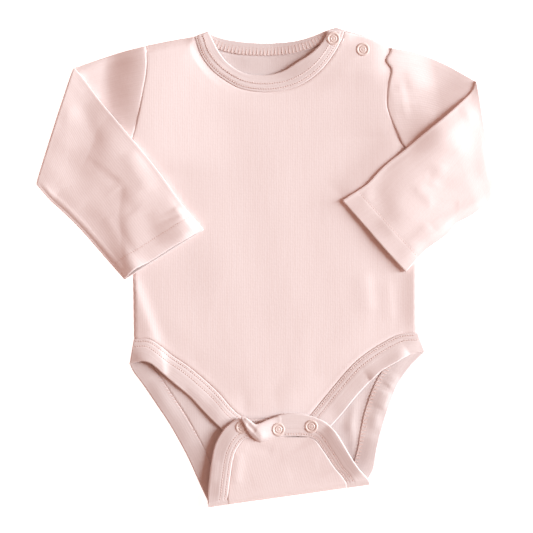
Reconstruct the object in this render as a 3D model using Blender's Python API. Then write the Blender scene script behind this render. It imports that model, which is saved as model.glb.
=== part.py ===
"""Baby onesie: a long-sleeved knitted bodysuit, laid flat on its back.

The sleeves are folded back at the elbow over the front, and the back panel's crotch flap is
folded up over the front panel's end. +X is the wearer's left, +Y is towards the neck, +Z is up,
and the cloth lies on z = 0. Sizes are millimetres until a mesh is made.
"""

import bmesh
import bpy
import numpy as np

MM = 0.001

# Cloth
WALL = 1.0
BINDING_WALL = 1.3
SEAM_GAP = 0.3

# Heights above the table
FRONT_REST = 1.6
FRONT_CROWN = 1.8
FLAP_AXIS = 1.6
SLEEVE_DEEP = 4.0
SLEEVE_AXIS = 4.3

# Shoulders: where the shoulder line meets each armhole, and each underarm
TIP_RIGHT = (-87.0, 159.0)
TIP_LEFT = (90.8, 157.8)
UNDERARM_RIGHT = (-102.6, 72.5)
UNDERARM_LEFT = (112.0, 78.0)
ARMHOLE_BOW_RIGHT = 4.0
ARMHOLE_BOW_LEFT = -12.0

# Mesh steps
ARMHOLE_STEPS = 6
SHOULDER_STEPS = 2
SPAN_STEPS = 2
ROLL_STEPS = 4
SNAP_STEPS = 20

# Neck: the panel's seam and the binding's free edge, from the wearer's right to left.
# Columns: seam x, seam y, edge x, edge y.
FRONT_NECK = (
    (-50.8, 166.0, -39.3, 167.0),
    (-41.5, 146.8, -31.3, 152.3),
    (-24.5, 132.8, -18.2, 141.0),
    (4.0, 125.6, 4.5, 138.0),
    (28.0, 132.2, 22.5, 144.6),
    (47.0, 149.3, 37.0, 156.8),
    (56.7, 168.7, 44.6, 169.8),
)
BACK_NECK = (
    (-50.5, 166.0, -39.0, 167.2),
    (-40.0, 159.6, -33.5, 165.6),
    (-22.0, 153.2, -20.5, 162.9),
    (2.0, 151.9, 2.0, 161.4),
    (24.0, 154.4, 23.5, 163.1),
    (41.5, 161.3, 39.5, 168.2),
    (57.5, 169.4, 50.4, 172.4),
)

# Side seams between the underarm and the leg opening. Columns: right x, y, left x, y.
SIDE_SEAM = (
    (-102.6, 72.5, 112.0, 78.0),
    (-97.0, 10.0, 108.6, 14.0),
    (-95.4, -52.8, 108.2, -48.4),
)

# Leg openings: the panel's seam and the binding's free edge, from the side seam downwards.
# Columns: right seam x, y, right edge x, y, left seam x, y, left edge x, y.
FRONT_LEG = (
    (-95.4, -52.8, -98.3, -71.3, 108.2, -48.4, 113.6, -63.0),
    (-84.5, -53.0, -90.0, -69.0, 97.5, -49.6, 104.2, -64.6),
    (-74.5, -59.4, -82.0, -71.6, 85.0, -55.7, 93.0, -70.8),
    (-59.1, -69.8, -69.8, -82.0, 70.5, -65.0, 80.8, -79.0),
    (-44.0, -82.6, -54.5, -95.2, 56.0, -78.6, 67.4, -92.6),
    (-30.0, -96.0, -42.0, -108.8, 43.5, -93.6, 55.8, -106.6),
    (-19.0, -108.6, -31.0, -118.6, 33.0, -106.4, 46.5, -117.4),
    (-13.0, -113.6, -19.0, -128.0, 27.5, -112.2, 33.5, -127.4),
)
BACK_LEG = (
    (-95.4, -52.8, -98.3, -71.3, 108.2, -48.4, 113.6, -63.0),
    (-87.0, -65.0, -95.0, -78.2, 95.0, -61.5, 104.4, -71.6),
    (-75.5, -81.0, -87.0, -88.6, 81.0, -80.8, 94.0, -86.0),
    (-60.0, -103.8, -71.6, -111.6, 73.8, -99.6, 87.6, -103.6),
    (-48.8, -123.0, -61.3, -129.1, 69.0, -117.5, 82.6, -120.6),
    (-39.4, -142.4, -52.6, -147.0, 66.0, -136.0, 79.6, -139.4),
    (-26.5, -168.9, -41.0, -171.0, 58.1, -156.5, 74.2, -154.1),
)

# Crotch flap, folded up over the front, from the fold to its end. Columns as for the leg
# openings, then how far the flap climbs over what is under it.
FLAP = (
    (-26.5, -168.9, -41.0, -171.0, 58.1, -156.5, 74.2, -154.1, 0.0),
    (-25.2, -154.0, -40.0, -153.0, 49.6, -145.6, 66.6, -145.0, 0.6),
    (-23.2, -140.6, -38.4, -137.2, 43.6, -136.9, 58.8, -132.6, 1.3),
    (-19.9, -131.3, -33.4, -122.6, 38.6, -129.8, 51.0, -120.2, 1.4),
    (-10.6, -123.8, -18.2, -110.2, 31.6, -123.9, 35.6, -109.2, 1.4),
)

# Sleeves from the armhole to the cuff: the two long edges of the flattened tube at each
# section. The fold's section comes twice, because there the sleeve turns back over itself.
# Columns: top edge x, y, underarm edge x, y, climb over the body, turned back.
SLEEVE_RIGHT = (
    (-87.0, 159.0, -102.6, 72.5, 0.0, False),
    (-104.0, 154.8, -121.0, 68.0, 0.0, False),
    (-120.0, 149.6, -141.0, 63.0, 0.0, False),
    (-135.0, 142.6, -161.8, 57.5, 0.0, False),
    (-135.0, 142.6, -161.8, 57.5, 0.0, True),
    (-119.0, 118.5, -155.0, 50.3, 0.1, True),
    (-98.0, 93.8, -146.0, 40.8, 0.4, True),
    (-78.0, 69.3, -132.5, 26.4, 0.4, True),
    (-61.0, 45.8, -116.5, 8.0, 0.4, True),
    (-44.8, 26.2, -102.0, -9.2, 0.4, True),
)
SLEEVE_LEFT = (
    (90.8, 157.8, 112.0, 78.0, 0.0, False),
    (110.0, 153.6, 128.0, 70.0, 0.0, False),
    (130.0, 145.4, 145.0, 62.0, 0.0, False),
    (149.3, 133.5, 161.5, 53.5, 0.0, False),
    (149.3, 133.5, 161.5, 53.5, 0.0, True),
    (138.0, 116.2, 157.5, 44.6, 0.1, True),
    (118.0, 99.6, 149.0, 38.4, 0.4, True),
    (96.5, 81.5, 136.5, 29.2, 0.4, True),
    (75.0, 61.4, 119.5, 15.8, 0.4, True),
    (56.0, 46.9, 102.3, -4.1, 0.4, True),
)

# Ring snaps. The profile's columns are radius and height above the cloth.
SNAP_PROFILE = (
    (0.0, 0.9),
    (2.5, 0.9),
    (2.9, 0.5),
    (3.5, 0.5),
    (3.9, 1.3),
    (4.6, 1.3),
    (4.9, 0.8),
    (4.9, 0.0),
    (0.0, 0.0),
)
# Columns: name, x, y, height of the cloth that it sits on.
SNAPS = (
    ("snap_shoulder_neck", 49.0, 164.2, FRONT_REST + BINDING_WALL),
    ("snap_shoulder_arm", 70.3, 156.5, FRONT_REST + WALL + 0.1),
    ("snap_crotch_right", -16.2, -117.6, 2 * FLAP_AXIS + 1.4),
    ("snap_crotch_middle", 9.3, -118.0, 2 * FLAP_AXIS + 1.4),
    ("snap_crotch_left", 33.0, -116.6, 2 * FLAP_AXIS + 1.4),
)

# Colours, linear
KNIT_PINK = (0.87, 0.70, 0.66, 1.0)
BINDING_PINK = (0.80, 0.60, 0.56, 1.0)
SNAP_PINK = (0.74, 0.53, 0.49, 1.0)


def clear_scene():
    for old in list(bpy.data.objects):
        bpy.data.objects.remove(old, do_unlink=True)


def make_material(name, colour, roughness):
    material = bpy.data.materials.new(name)
    material.use_nodes = True
    shader = material.node_tree.nodes["Principled BSDF"]
    shader.inputs["Base Color"].default_value = colour
    shader.inputs["Roughness"].default_value = roughness
    shader.inputs["Metallic"].default_value = 0.0
    return material


def smooth_rows(rows, steps=SPAN_STEPS):
    """The rows of a table, with more between them on a Catmull-Rom curve."""
    rows = np.asarray(rows, float)
    ends = np.vstack([2 * rows[0] - rows[1], rows, 2 * rows[-1] - rows[-2]])
    made = []
    for first in range(len(rows) - 1):
        before, start, stop, after = ends[first : first + 4]
        for t in np.arange(steps) / steps:
            bend = (stop - before) * t
            bend = bend + (2 * before - 5 * start + 4 * stop - after) * t**2
            bend = bend + (3 * start - before - 3 * stop + after) * t**3
            made.append(start + bend / 2)
    made.append(rows[-1])
    return np.array(made)


def between(start, stop, steps):
    """Points on a straight line, without its last one."""
    share = np.arange(steps)[:, None] / steps
    return np.asarray(start) + (np.asarray(stop) - np.asarray(start)) * share


def bowed(start, stop, share, bow):
    """Points at each share of a line whose middle is pushed along x by bow, straight
    between the armhole's stations, so that a sleeve and its panel have one outline."""
    stations = np.linspace(0, 1, ARMHOLE_STEPS + 1)
    line = np.asarray(start) + np.outer(share, np.subtract(stop, start))
    line[:, 0] += np.interp(share, stations, 4 * bow * stations * (1 - stations))
    return line


def turned(flat, height, turn, lift, axis_height, outward=(0.0, 0.0)):
    """Cloth that lies this high above the table, after a turn about a level fold axis."""
    radius = axis_height - height
    x = flat[..., 0] + outward[0] * radius * np.sin(turn)
    y = flat[..., 1] + outward[1] * radius * np.sin(turn)
    z = axis_height - radius * np.cos(turn) + lift
    return np.stack([x, y, z + np.zeros_like(x)], axis=-1)


def outward_of(start, stop):
    """The level direction at a right angle to a fold, to the right of its direction."""
    along = np.subtract(stop, start)
    return np.array([along[1], -along[0]]) / np.hypot(*along)


def quads(grid):
    """The faces between the vertex numbers of a grid."""
    corners = (grid[:-1, :-1], grid[:-1, 1:], grid[1:, 1:], grid[1:, :-1])
    return np.stack(corners, axis=-1).reshape(-1, 4).tolist()


def build_cloth(name, outside, inside, material, tube=False):
    """A closed wall between two grids of points. A tube's columns run round it."""
    rows, columns = outside.shape[:2]
    points = np.concatenate([outside.reshape(-1, 3), inside.reshape(-1, 3)]) * MM
    outer = np.arange(rows * columns).reshape(rows, columns)
    if tube:
        outer = np.hstack([outer, outer[:, :1]])
    inner = outer + rows * columns
    faces = quads(outer) + quads(inner[::-1])
    for row in (0, -1):
        faces += quads(np.stack([outer[row], inner[row]]))
    if not tube:
        for column in (0, -1):
            faces += quads(np.stack([outer[:, column], inner[:, column]]))
    mesh = bpy.data.meshes.new(name)
    mesh.from_pydata(points.tolist(), [], faces)
    return place_mesh(name, mesh, material)


def place_mesh(name, mesh, material):
    work = bmesh.new()
    work.from_mesh(mesh)
    bmesh.ops.recalc_face_normals(work, faces=work.faces)
    work.to_mesh(mesh)
    work.free()
    mesh.shade_smooth()
    mesh.set_sharp_from_angle(angle=np.radians(40))
    mesh.materials.append(material)
    made = bpy.data.objects.new(name, mesh)
    bpy.context.scene.collection.objects.link(made)
    return made


def panel_top(neck):
    """The top outline of a panel: shoulder, neck seam, shoulder."""
    seam = smooth_rows(neck)[:, :2]
    right = between(TIP_RIGHT, seam[0], SHOULDER_STEPS)
    left = between(TIP_LEFT, seam[-1], SHOULDER_STEPS)[::-1]
    return np.vstack([right, seam, left])


def panel_sides(leg):
    """The right and left outlines of a panel, from the shoulder to its end."""
    share = np.linspace(0, 1, ARMHOLE_STEPS + 1)
    right = bowed(TIP_RIGHT, UNDERARM_RIGHT, share, ARMHOLE_BOW_RIGHT)
    left = bowed(TIP_LEFT, UNDERARM_LEFT, share, ARMHOLE_BOW_LEFT)
    side = smooth_rows(SIDE_SEAM)[1:]
    lower = smooth_rows(leg)[1:]
    right = np.vstack([right, side[:, 0:2], lower[:, 0:2]])
    left = np.vstack([left, side[:, 2:4], lower[:, 4:6]])
    return right, left


def panel_rows(top, right, left):
    """Rows from side to side. The first is the top outline, and the neck's dip fades out
    by the underarm, so that every row below it is straight."""
    across = (top[:, 0] - top[0, 0]) / (top[-1, 0] - top[0, 0])
    rows = right[:, None] + (left - right)[:, None] * across[:, None]
    dip = top[:, 1] - rows[0, :, 1]
    fade = np.clip(1 - np.arange(len(rows)) / ARMHOLE_STEPS, 0, 1)
    rows[..., 1] += fade[:, None] * dip
    return rows, across


def crown_over(rows, columns):
    """How far the front stands off the back: most in the middle, nothing at its edges, and
    nothing towards the crotch, where the flap lies on it."""
    down = np.linspace(0, 1, rows)[:, None]
    over = np.linspace(-1, 1, columns)[None]
    ends = np.clip(4 * down, 0, 1) * np.clip((0.8 - down) / 0.3, 0, 1)
    return FRONT_CROWN * (1 - over**4) * ends


def strip(seam, edge):
    """The two long sides of a binding that starts a seam's gap away from its panel."""
    step = edge - seam
    step = step * SEAM_GAP / np.linalg.norm(step, axis=-1, keepdims=True)
    return np.stack([seam + step, edge], axis=1)


def front_panel(knit, binding):
    right, left = panel_sides(FRONT_LEG)
    rows, _ = panel_rows(panel_top(FRONT_NECK), right, left)
    lift = FRONT_REST + crown_over(*rows.shape[:2])
    lower = turned(rows, 0.0, 0.0, lift, FLAP_AXIS)
    upper = turned(rows, WALL, 0.0, lift, FLAP_AXIS)
    build_cloth("front_panel", upper, lower, knit)

    neck = smooth_rows(FRONT_NECK)
    lay_strip("neck_binding_front", strip(neck[:, :2], neck[:, 2:]), FRONT_REST, binding)

    leg = smooth_rows(FRONT_LEG)
    share = np.linspace(0, 1, len(rows[-1]))[1:-1, None]
    end_edge = leg[-1, 2:4] + (leg[-1, 6:8] - leg[-1, 2:4]) * share
    seam = np.vstack([leg[:, 0:2], rows[-1, 1:-1], leg[::-1, 4:6]])
    edge = np.vstack([leg[:, 2:4], end_edge, leg[::-1, 6:8]])
    lay_strip("leg_binding_front", strip(seam, edge), FRONT_REST, binding)


def lay_strip(name, flat, lift, material):
    lower = turned(flat, 0.0, 0.0, lift, FLAP_AXIS)
    upper = turned(flat, BINDING_WALL, 0.0, lift, FLAP_AXIS)
    build_cloth(name, upper, lower, material)


def back_rows(across):
    """The back's rows past the leg openings: the roll at the fold, then the flap that lies
    over the front. Gives the table's smoothed rows with each row's turn and lift."""
    flap = smooth_rows(FLAP)
    roll = np.repeat(flap[:1], ROLL_STEPS - 1, axis=0)
    table = np.vstack([roll, flap])
    angles = np.linspace(0, np.pi, ROLL_STEPS + 1)[1:-1]
    turn = np.concatenate([angles, np.full(len(flap), np.pi)])
    cloth = table[:, None, 0:2] + (table[:, 4:6] - table[:, 0:2])[:, None] * across[:, None]
    return table, cloth, turn, table[:, 8]


def back_panel(knit, binding):
    right, left = panel_sides(BACK_LEG)
    rows, across = panel_rows(panel_top(BACK_NECK), right, left)
    table, cloth, turn, lift = back_rows(across)
    outward = outward_of(FLAP[0][0:2], FLAP[0][4:6])
    rows = np.vstack([rows, cloth])
    turn_down = np.concatenate([np.zeros(len(right)), turn])[:, None]
    lift_down = np.concatenate([np.zeros(len(right)), lift])[:, None]
    lower = turned(rows, 0.0, turn_down, lift_down, FLAP_AXIS, outward)
    upper = turned(rows, WALL, turn_down, lift_down, FLAP_AXIS, outward)
    build_cloth("back_panel", lower, upper, knit)

    neck = smooth_rows(BACK_NECK)
    lay_strip("neck_binding_back", strip(neck[:, :2], neck[:, 2:]), 0.0, binding)

    leg = smooth_rows(BACK_LEG)
    path = np.vstack([leg, table[:, :8]])
    path_turn = np.concatenate([np.zeros(len(leg)), turn])
    path_lift = np.concatenate([np.zeros(len(leg)), lift])
    share = across[1:-1, None]
    end_edge = path[-1, 2:4] + (path[-1, 6:8] - path[-1, 2:4]) * share
    end_edge[:, 1] += 2.0 * np.sin(np.pi * share[:, 0])
    ends = np.ones(len(end_edge))
    seam = np.vstack([path[:, 0:2], cloth[-1, 1:-1], path[::-1, 4:6]])
    edge = np.vstack([path[:, 2:4], end_edge, path[::-1, 6:8]])
    turn = np.concatenate([path_turn, ends * np.pi, path_turn[::-1]])[:, None]
    lift = np.concatenate([path_lift, ends * path_lift[-1], path_lift[::-1]])[:, None]
    flat = strip(seam, edge)
    lower = turned(flat, 0.0, turn, lift, FLAP_AXIS, outward)
    upper = turned(flat, BINDING_WALL, turn, lift, FLAP_AXIS, outward)
    build_cloth("leg_binding_back", lower, upper, binding)


def ring_of(width, wall):
    """A flattened tube's section: shares of its width and heights, round it once."""
    flat = np.linspace(0, 1, ARMHOLE_STEPS + 1)[1:-1]
    first = np.array([1.1 * wall, 1.5 + 1.1 * wall]) / width
    share = np.concatenate([first, flat, 1 - first[::-1]])
    half = SLEEVE_DEEP / 2 - wall
    rise = half * np.array([0.0, 0.8] + [1.0] * len(flat) + [0.8, 0.0])
    share = np.concatenate([share, share[-2:0:-1]])
    height = SLEEVE_DEEP / 2 + np.concatenate([-rise, rise[-2:0:-1]])
    return share, height


def sleeve_grid(table, bow, wall):
    """Rings from the armhole to the cuff, through the roll at the elbow's fold."""
    table = np.array(table, float)
    fold = int(np.argmax(table[:, 5]))
    lower = smooth_rows(table[:fold, :5])
    upper = smooth_rows(table[fold:, :5])
    sections = np.vstack([lower, np.repeat(upper[:1], ROLL_STEPS - 1, axis=0), upper])
    angles = np.linspace(0, np.pi, ROLL_STEPS + 1)[1:-1]
    turns = [np.zeros(len(lower)), angles, np.full(len(upper), np.pi)]
    away = np.sign(table[0, 0])
    outward = outward_of(table[fold, 0:2], table[fold, 2:4]) * -away
    bows = np.zeros(len(sections))
    bows[:3] = bow * np.array([1.0, 0.7, 0.3])
    rings = []
    for section, turn, push in zip(sections, np.concatenate(turns), bows):
        start, stop = section[0:2], section[2:4]
        share, height = ring_of(np.hypot(*(stop - start)), wall)
        flat = bowed(start, stop, share, push)
        rings.append(turned(flat, height, turn, section[4], SLEEVE_AXIS, outward))
    rings = np.array(rings)
    rings[0, :, 0] += away * 1.3 * SEAM_GAP
    return rings


def sleeve(name, table, bow, knit):
    build_cloth(name, sleeve_grid(table, bow, 0.0), sleeve_grid(table, bow, WALL), knit, True)


def snap(name, x, y, cloth_height, plastic):
    """A ring snap, turned from its profile."""
    work = bmesh.new()
    profile = [work.verts.new((r * MM, 0.0, z * MM)) for r, z in SNAP_PROFILE]
    edges = [work.edges.new(pair) for pair in zip(profile, profile[1:])]
    bmesh.ops.spin(
        work,
        geom=profile + edges,
        cent=(0.0, 0.0, 0.0),
        axis=(0.0, 0.0, 1.0),
        angle=2 * np.pi,
        steps=SNAP_STEPS,
    )
    bmesh.ops.remove_doubles(work, verts=work.verts, dist=0.00001)
    mesh = bpy.data.meshes.new(name)
    work.to_mesh(mesh)
    work.free()
    made = place_mesh(name, mesh, plastic)
    made.location = (x * MM, y * MM, (cloth_height + SEAM_GAP) * MM)


def main():
    clear_scene()
    knit = make_material("knit_pink", KNIT_PINK, 0.9)
    binding = make_material("binding_pink", BINDING_PINK, 0.9)
    plastic = make_material("snap_pink", SNAP_PINK, 0.45)
    back_panel(knit, binding)
    front_panel(knit, binding)
    sleeve("sleeve_right", SLEEVE_RIGHT, ARMHOLE_BOW_RIGHT, knit)
    sleeve("sleeve_left", SLEEVE_LEFT, ARMHOLE_BOW_LEFT, knit)
    for row in SNAPS:
        snap(*row, plastic)


main()
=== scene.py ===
import bpy
import numpy as np
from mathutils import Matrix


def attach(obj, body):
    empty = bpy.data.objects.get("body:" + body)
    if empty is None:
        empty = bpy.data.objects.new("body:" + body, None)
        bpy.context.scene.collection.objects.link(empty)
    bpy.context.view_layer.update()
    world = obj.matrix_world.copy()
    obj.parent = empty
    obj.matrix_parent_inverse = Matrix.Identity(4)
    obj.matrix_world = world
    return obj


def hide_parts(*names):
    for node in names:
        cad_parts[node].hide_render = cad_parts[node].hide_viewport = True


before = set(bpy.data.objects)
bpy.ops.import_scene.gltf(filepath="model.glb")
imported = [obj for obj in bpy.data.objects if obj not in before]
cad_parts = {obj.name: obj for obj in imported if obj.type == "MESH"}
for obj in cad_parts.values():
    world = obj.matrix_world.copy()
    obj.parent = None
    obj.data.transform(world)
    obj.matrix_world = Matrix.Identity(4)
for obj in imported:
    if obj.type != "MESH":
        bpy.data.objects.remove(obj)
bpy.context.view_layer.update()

# Sizes are millimetres until a mesh is made. +X is the wearer's left, +Y the neck, +Z up.
mm = 0.001

cloth = {
    "wall": 0.9,  # knitted jersey
    "gap": 0.25,  # between layers that lie on each other
    "seam": 0.12,  # between sewn pieces
}


def smoothRows(table, perSpan):
    # Catmull-Rom: a cubic through each pair of rows whose slope at a row is half the
    # step between its two neighbours.
    rows = np.asarray(table, float)
    ends = np.vstack([2 * rows[0] - rows[1], rows, 2 * rows[-1] - rows[-2]])
    t = (np.arange(perSpan) / perSpan)[None, :, None]
    before, start, stop, after = (ends[i : i + len(rows) - 1][:, None] for i in range(4))
    bend = (stop - before) * t + (2 * before - 5 * start + 4 * stop - after) * t**2
    bend = bend + (3 * start - before - 3 * stop + after) * t**3
    return np.vstack([(start + bend / 2).reshape(-1, rows.shape[1]), rows[-1:]])


def lengthAlong(points):
    # The running sum of the distances between neighbours.
    steps = np.linalg.norm(np.diff(points, axis=0), axis=1)
    return np.concatenate([[0.0], np.cumsum(steps)])


def rowsAt(rows, along, at):
    # The rows at the given lengths, where along is each row's own length.
    return np.stack([np.interp(at, along, column) for column in rows.T], axis=1)


def evenRows(rows, count, columns=2):
    # The same curve with rows at equal steps of its length.
    along = lengthAlong(rows[:, :columns])
    return rowsAt(rows, along, np.linspace(0, along[-1], count))


def unit(vectors):
    # Each vector over its own length.
    return vectors / np.maximum(np.linalg.norm(vectors, axis=1, keepdims=True), 1e-9)


def easeIn(value):
    # 0 below 0, 1 above 1, and 3v^2 - 2v^3 between.
    value = np.clip(value, 0, 1)
    return value * value * (3 - 2 * value)


def quarterRound(away, reach):
    # 0 at an edge, 1 from reach on, and a quarter circle between.
    return np.sqrt(1 - (1 - np.clip(away / reach, 0, 1)) ** 2)


def bell(away, reach):
    # exp(-(away / reach)^2).
    return np.exp(-((away / reach) ** 2))


def creases(table, flat, endDrop=0.75):
    # Each row is a soft ridge, or a trough where its height is negative: the height times
    # exp(-(distance from the line / width)^2), less the share endDrop at the line's two ends.
    # The width is the first one on the left of the line and the second on its right.
    x, y = flat[..., 0], flat[..., 1]
    total = np.zeros_like(x)
    for x0, y0, x1, y1, widthLeft, widthRight, height in table:
        alongX, alongY = x1 - x0, y1 - y0
        length = np.hypot(alongX, alongY)
        t = np.clip(((x - x0) * alongX + (y - y0) * alongY) / length**2, 0, 1)
        away = np.hypot(x - x0 - t * alongX, y - y0 - t * alongY)
        side = ((y - y0) * alongX - (x - x0) * alongY) / length
        width = widthRight + (widthLeft - widthRight) * (0.5 + 0.5 * np.tanh(side / 1.5))
        total += height * bell(away, width) * (1 - endDrop * easeIn((2 * t - 1) ** 4))
    return total


def nearest(flat, line):
    # Each point's distance from the nearest point of a finely divided line.
    return np.hypot(flat[..., 0, None] - line[:, 0], flat[..., 1, None] - line[:, 1]).min(axis=-1)


def ripples(flat, ripple, seed):
    # A sum of a few long sine waves in seeded directions, of the given height and length:
    # the unevenness of slack cloth.
    x, y = flat[..., 0], flat[..., 1]
    height, size = ripple
    random = np.random.default_rng(seed)
    total = np.zeros_like(x)
    for angle, stretch, start in random.random((7, 3)):
        angle, wave = angle * np.pi, size * (0.6 + stretch)
        across = x * np.cos(angle) + y * np.sin(angle)
        total += np.sin(across * 2 * np.pi / wave + start * 6.28)
    return height * (total / 7)


class Heights:
    # The height of what already lies there, on a grid of cells.
    cell, low, size = 2.0, np.array([-190.0, -200.0]), (191, 201)

    def __init__(self, source=None):
        self.top = np.zeros(self.size) if source is None else source.top.copy()

    def add(self, points):
        # Each cell keeps the highest point that falls in it or beside it.
        at = np.rint((points[..., :2].reshape(-1, 2) - self.low) / self.cell).astype(int)
        new = np.zeros(self.size)
        np.maximum.at(new, (at[:, 0], at[:, 1]), points[..., 2].ravel())
        self.top = np.maximum(self.top, spread(new))
        return self

    def softened(self, reach, blur):
        # The highest within reach cells, then averaged with its neighbours blur times,
        # so that cloth laid over an edge slopes down beside it.
        made = Heights(self)
        for _ in range(reach):
            made.top = spread(made.top)
        for _ in range(blur):
            wide = np.pad(made.top, 1, mode="edge")
            wide = (wide[:-2] + 2 * wide[1:-1] + wide[2:]) / 4
            made.top = (wide[:, :-2] + 2 * wide[:, 1:-1] + wide[:, 2:]) / 4
        return made

    def at(self, flat):
        # Bilinear between the four nearest cells.
        px, py = (np.clip((flat[..., i] - self.low[i]) / self.cell, 0, self.size[i] - 1.001) for i in (0, 1))
        i, j = px.astype(int), py.astype(int)
        s, t = px - i, py - j
        lower = self.top[i, j] * (1 - s) + self.top[i + 1, j] * s
        upper = self.top[i, j + 1] * (1 - s) + self.top[i + 1, j + 1] * s
        return lower * (1 - t) + upper * t


def spread(field):
    # Each cell takes the highest of itself and its eight neighbours.
    wide = np.pad(field, 1, mode="edge")
    wide = np.maximum(np.maximum(wide[:-2], wide[1:-1]), wide[2:])
    return np.maximum(np.maximum(wide[:, :-2], wide[:, 1:-1]), wide[:, 2:])


def showPiece(name, points, faces, uv, material, nodes=(), inside=None, insideFaces=(0, 0)):
    # A mesh object riding the part, in place of the solids named. The faces from the first to
    # the last of insideFaces get the second material.
    mesh = bpy.data.meshes.new(name)
    mesh.from_pydata((points * mm).tolist(), [], faces)
    corners = np.empty(len(mesh.loops), np.int32)
    mesh.loops.foreach_get("vertex_index", corners)
    weave = mesh.uv_layers.new(name="weave")
    weave.uv.foreach_set("vector", uv[corners].astype(np.float32).ravel())
    mesh.materials.append(material)
    if inside:
        mesh.materials.append(inside)
        index = np.zeros(len(faces), np.int32)
        index[insideFaces[0] : insideFaces[1]] = 1
        mesh.polygons.foreach_set("material_index", index)
    mesh.shade_smooth()
    piece = bpy.data.objects.new(name, mesh)
    bpy.context.scene.collection.objects.link(piece)
    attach(piece, "root")
    if nodes:
        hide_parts(*nodes)


upward = np.array([0.0, 0.0, 1.0])


def quads(grid):
    # The four corners of every cell of a grid of vertex numbers.
    corners = (grid[:-1, :-1], grid[:-1, 1:], grid[1:, 1:], grid[1:, :-1])
    return np.stack(corners, axis=-1).reshape(-1, 4)


def border(grid):
    # Once round the outline of a grid.
    return np.concatenate([grid[0], grid[1:, -1], grid[-1, -2::-1], grid[-2:0:-1, 0]])


def wallMesh(name, outer, inner, uv, material, nodes=(), ring=False, bulge=0.35, inside=None):
    # Two grids of points joined by rims, each rim rounded by one line of points midway
    # and pushed out by bulge times the wall. A ring's columns close on themselves. The
    # inner grid's faces may have a material of their own.
    rows, columns = outer.shape[:2]
    count = rows * columns
    index = np.arange(count).reshape(rows, columns)
    if ring:
        loops, nearLoops = [index[0], index[-1][::-1]], [index[1], index[-2][::-1]]
    else:
        shrunk = index[np.clip(np.arange(rows), 1, rows - 2)][:, np.clip(np.arange(columns), 1, columns - 2)]
        loops, nearLoops = [border(index)], [border(shrunk)]
    flatOuter, flatInner, flatUv = outer.reshape(-1, 3), inner.reshape(-1, 3), uv.reshape(-1, 2)
    points, maps = [flatOuter, flatInner], [flatUv, flatUv]
    closed = np.hstack([index, index[:, :1]]) if ring else index
    faces = [quads(closed), quads(closed[::-1]) + count]
    start, sheetFaces = 2 * count, len(faces[0])
    for loop, near in zip(loops, nearLoops):
        out = unit(flatOuter[loop] - flatOuter[near])
        wall = np.linalg.norm(flatOuter[loop] - flatInner[loop], axis=1, keepdims=True)
        points.append((flatOuter[loop] + flatInner[loop]) / 2 + out * wall * bulge)
        maps.append(flatUv[loop])
        middle = start + np.arange(len(loop))
        start += len(loop)
        for first, second in ((loop, middle), (middle, loop + count)):
            first, second = np.append(first, first[0]), np.append(second, second[0])
            faces.append(np.stack([first[1:], first[:-1], second[:-1], second[1:]], axis=1))
    points, maps, faces = np.vstack(points), np.vstack(maps), np.vstack(faces)
    a, b, c, d = (points[faces[:, i]] for i in range(4))
    volume = (a * np.cross(b, c)).sum() + (a * np.cross(c, d)).sum()
    if volume < 0:
        faces = faces[:, ::-1]
    insideFaces = (sheetFaces, 2 * sheetFaces)
    showPiece(name, points, faces.tolist(), maps, material, nodes, inside, insideFaces)


def threadMesh(name, centres, along, size):
    # One short rounded thread for each centre: an eight-sided spindle of length, width and
    # height size, its long axis along the row's direction.
    turn = np.arange(8) * np.pi / 4
    stations = np.array([-1.0, -0.85, -0.4, 0.4, 0.85, 1.0])
    girth = np.sqrt(np.clip(1 - np.abs(stations) ** 3, 0.02, 1))
    a = np.repeat(stations[:, None], 8, axis=1) * size[0] / 2
    b = girth[:, None] * np.cos(turn) * size[1] / 2
    c = girth[:, None] * np.sin(turn) * size[2] / 2
    along = unit(along)
    across = unit(np.cross(upward, along))
    axes = (along, across, np.cross(along, across))
    points = centres[:, None] + sum(v.ravel()[:, None] * axis[:, None] for v, axis in zip((a, b, c), axes))
    index = np.arange(48).reshape(6, 8)
    side = quads(np.hstack([index, index[:, :1]]))
    first = np.stack([index[0][[0, 1, 2, 3]], index[0][[0, 3, 4, 7]], index[0][[4, 5, 6, 7]]])
    last = np.stack([index[-1][[3, 2, 1, 0]], index[-1][[7, 4, 3, 0]], index[-1][[7, 6, 5, 4]]])
    template = np.vstack([side, first, last])
    faces = (template[None] + 48 * np.arange(len(centres))[:, None, None]).reshape(-1, 4)
    uv = np.tile(np.stack([a.ravel(), b.ravel()], axis=1), (len(centres), 1))
    showPiece(name, points.reshape(-1, 3), faces.tolist(), uv, threadPink)


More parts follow.
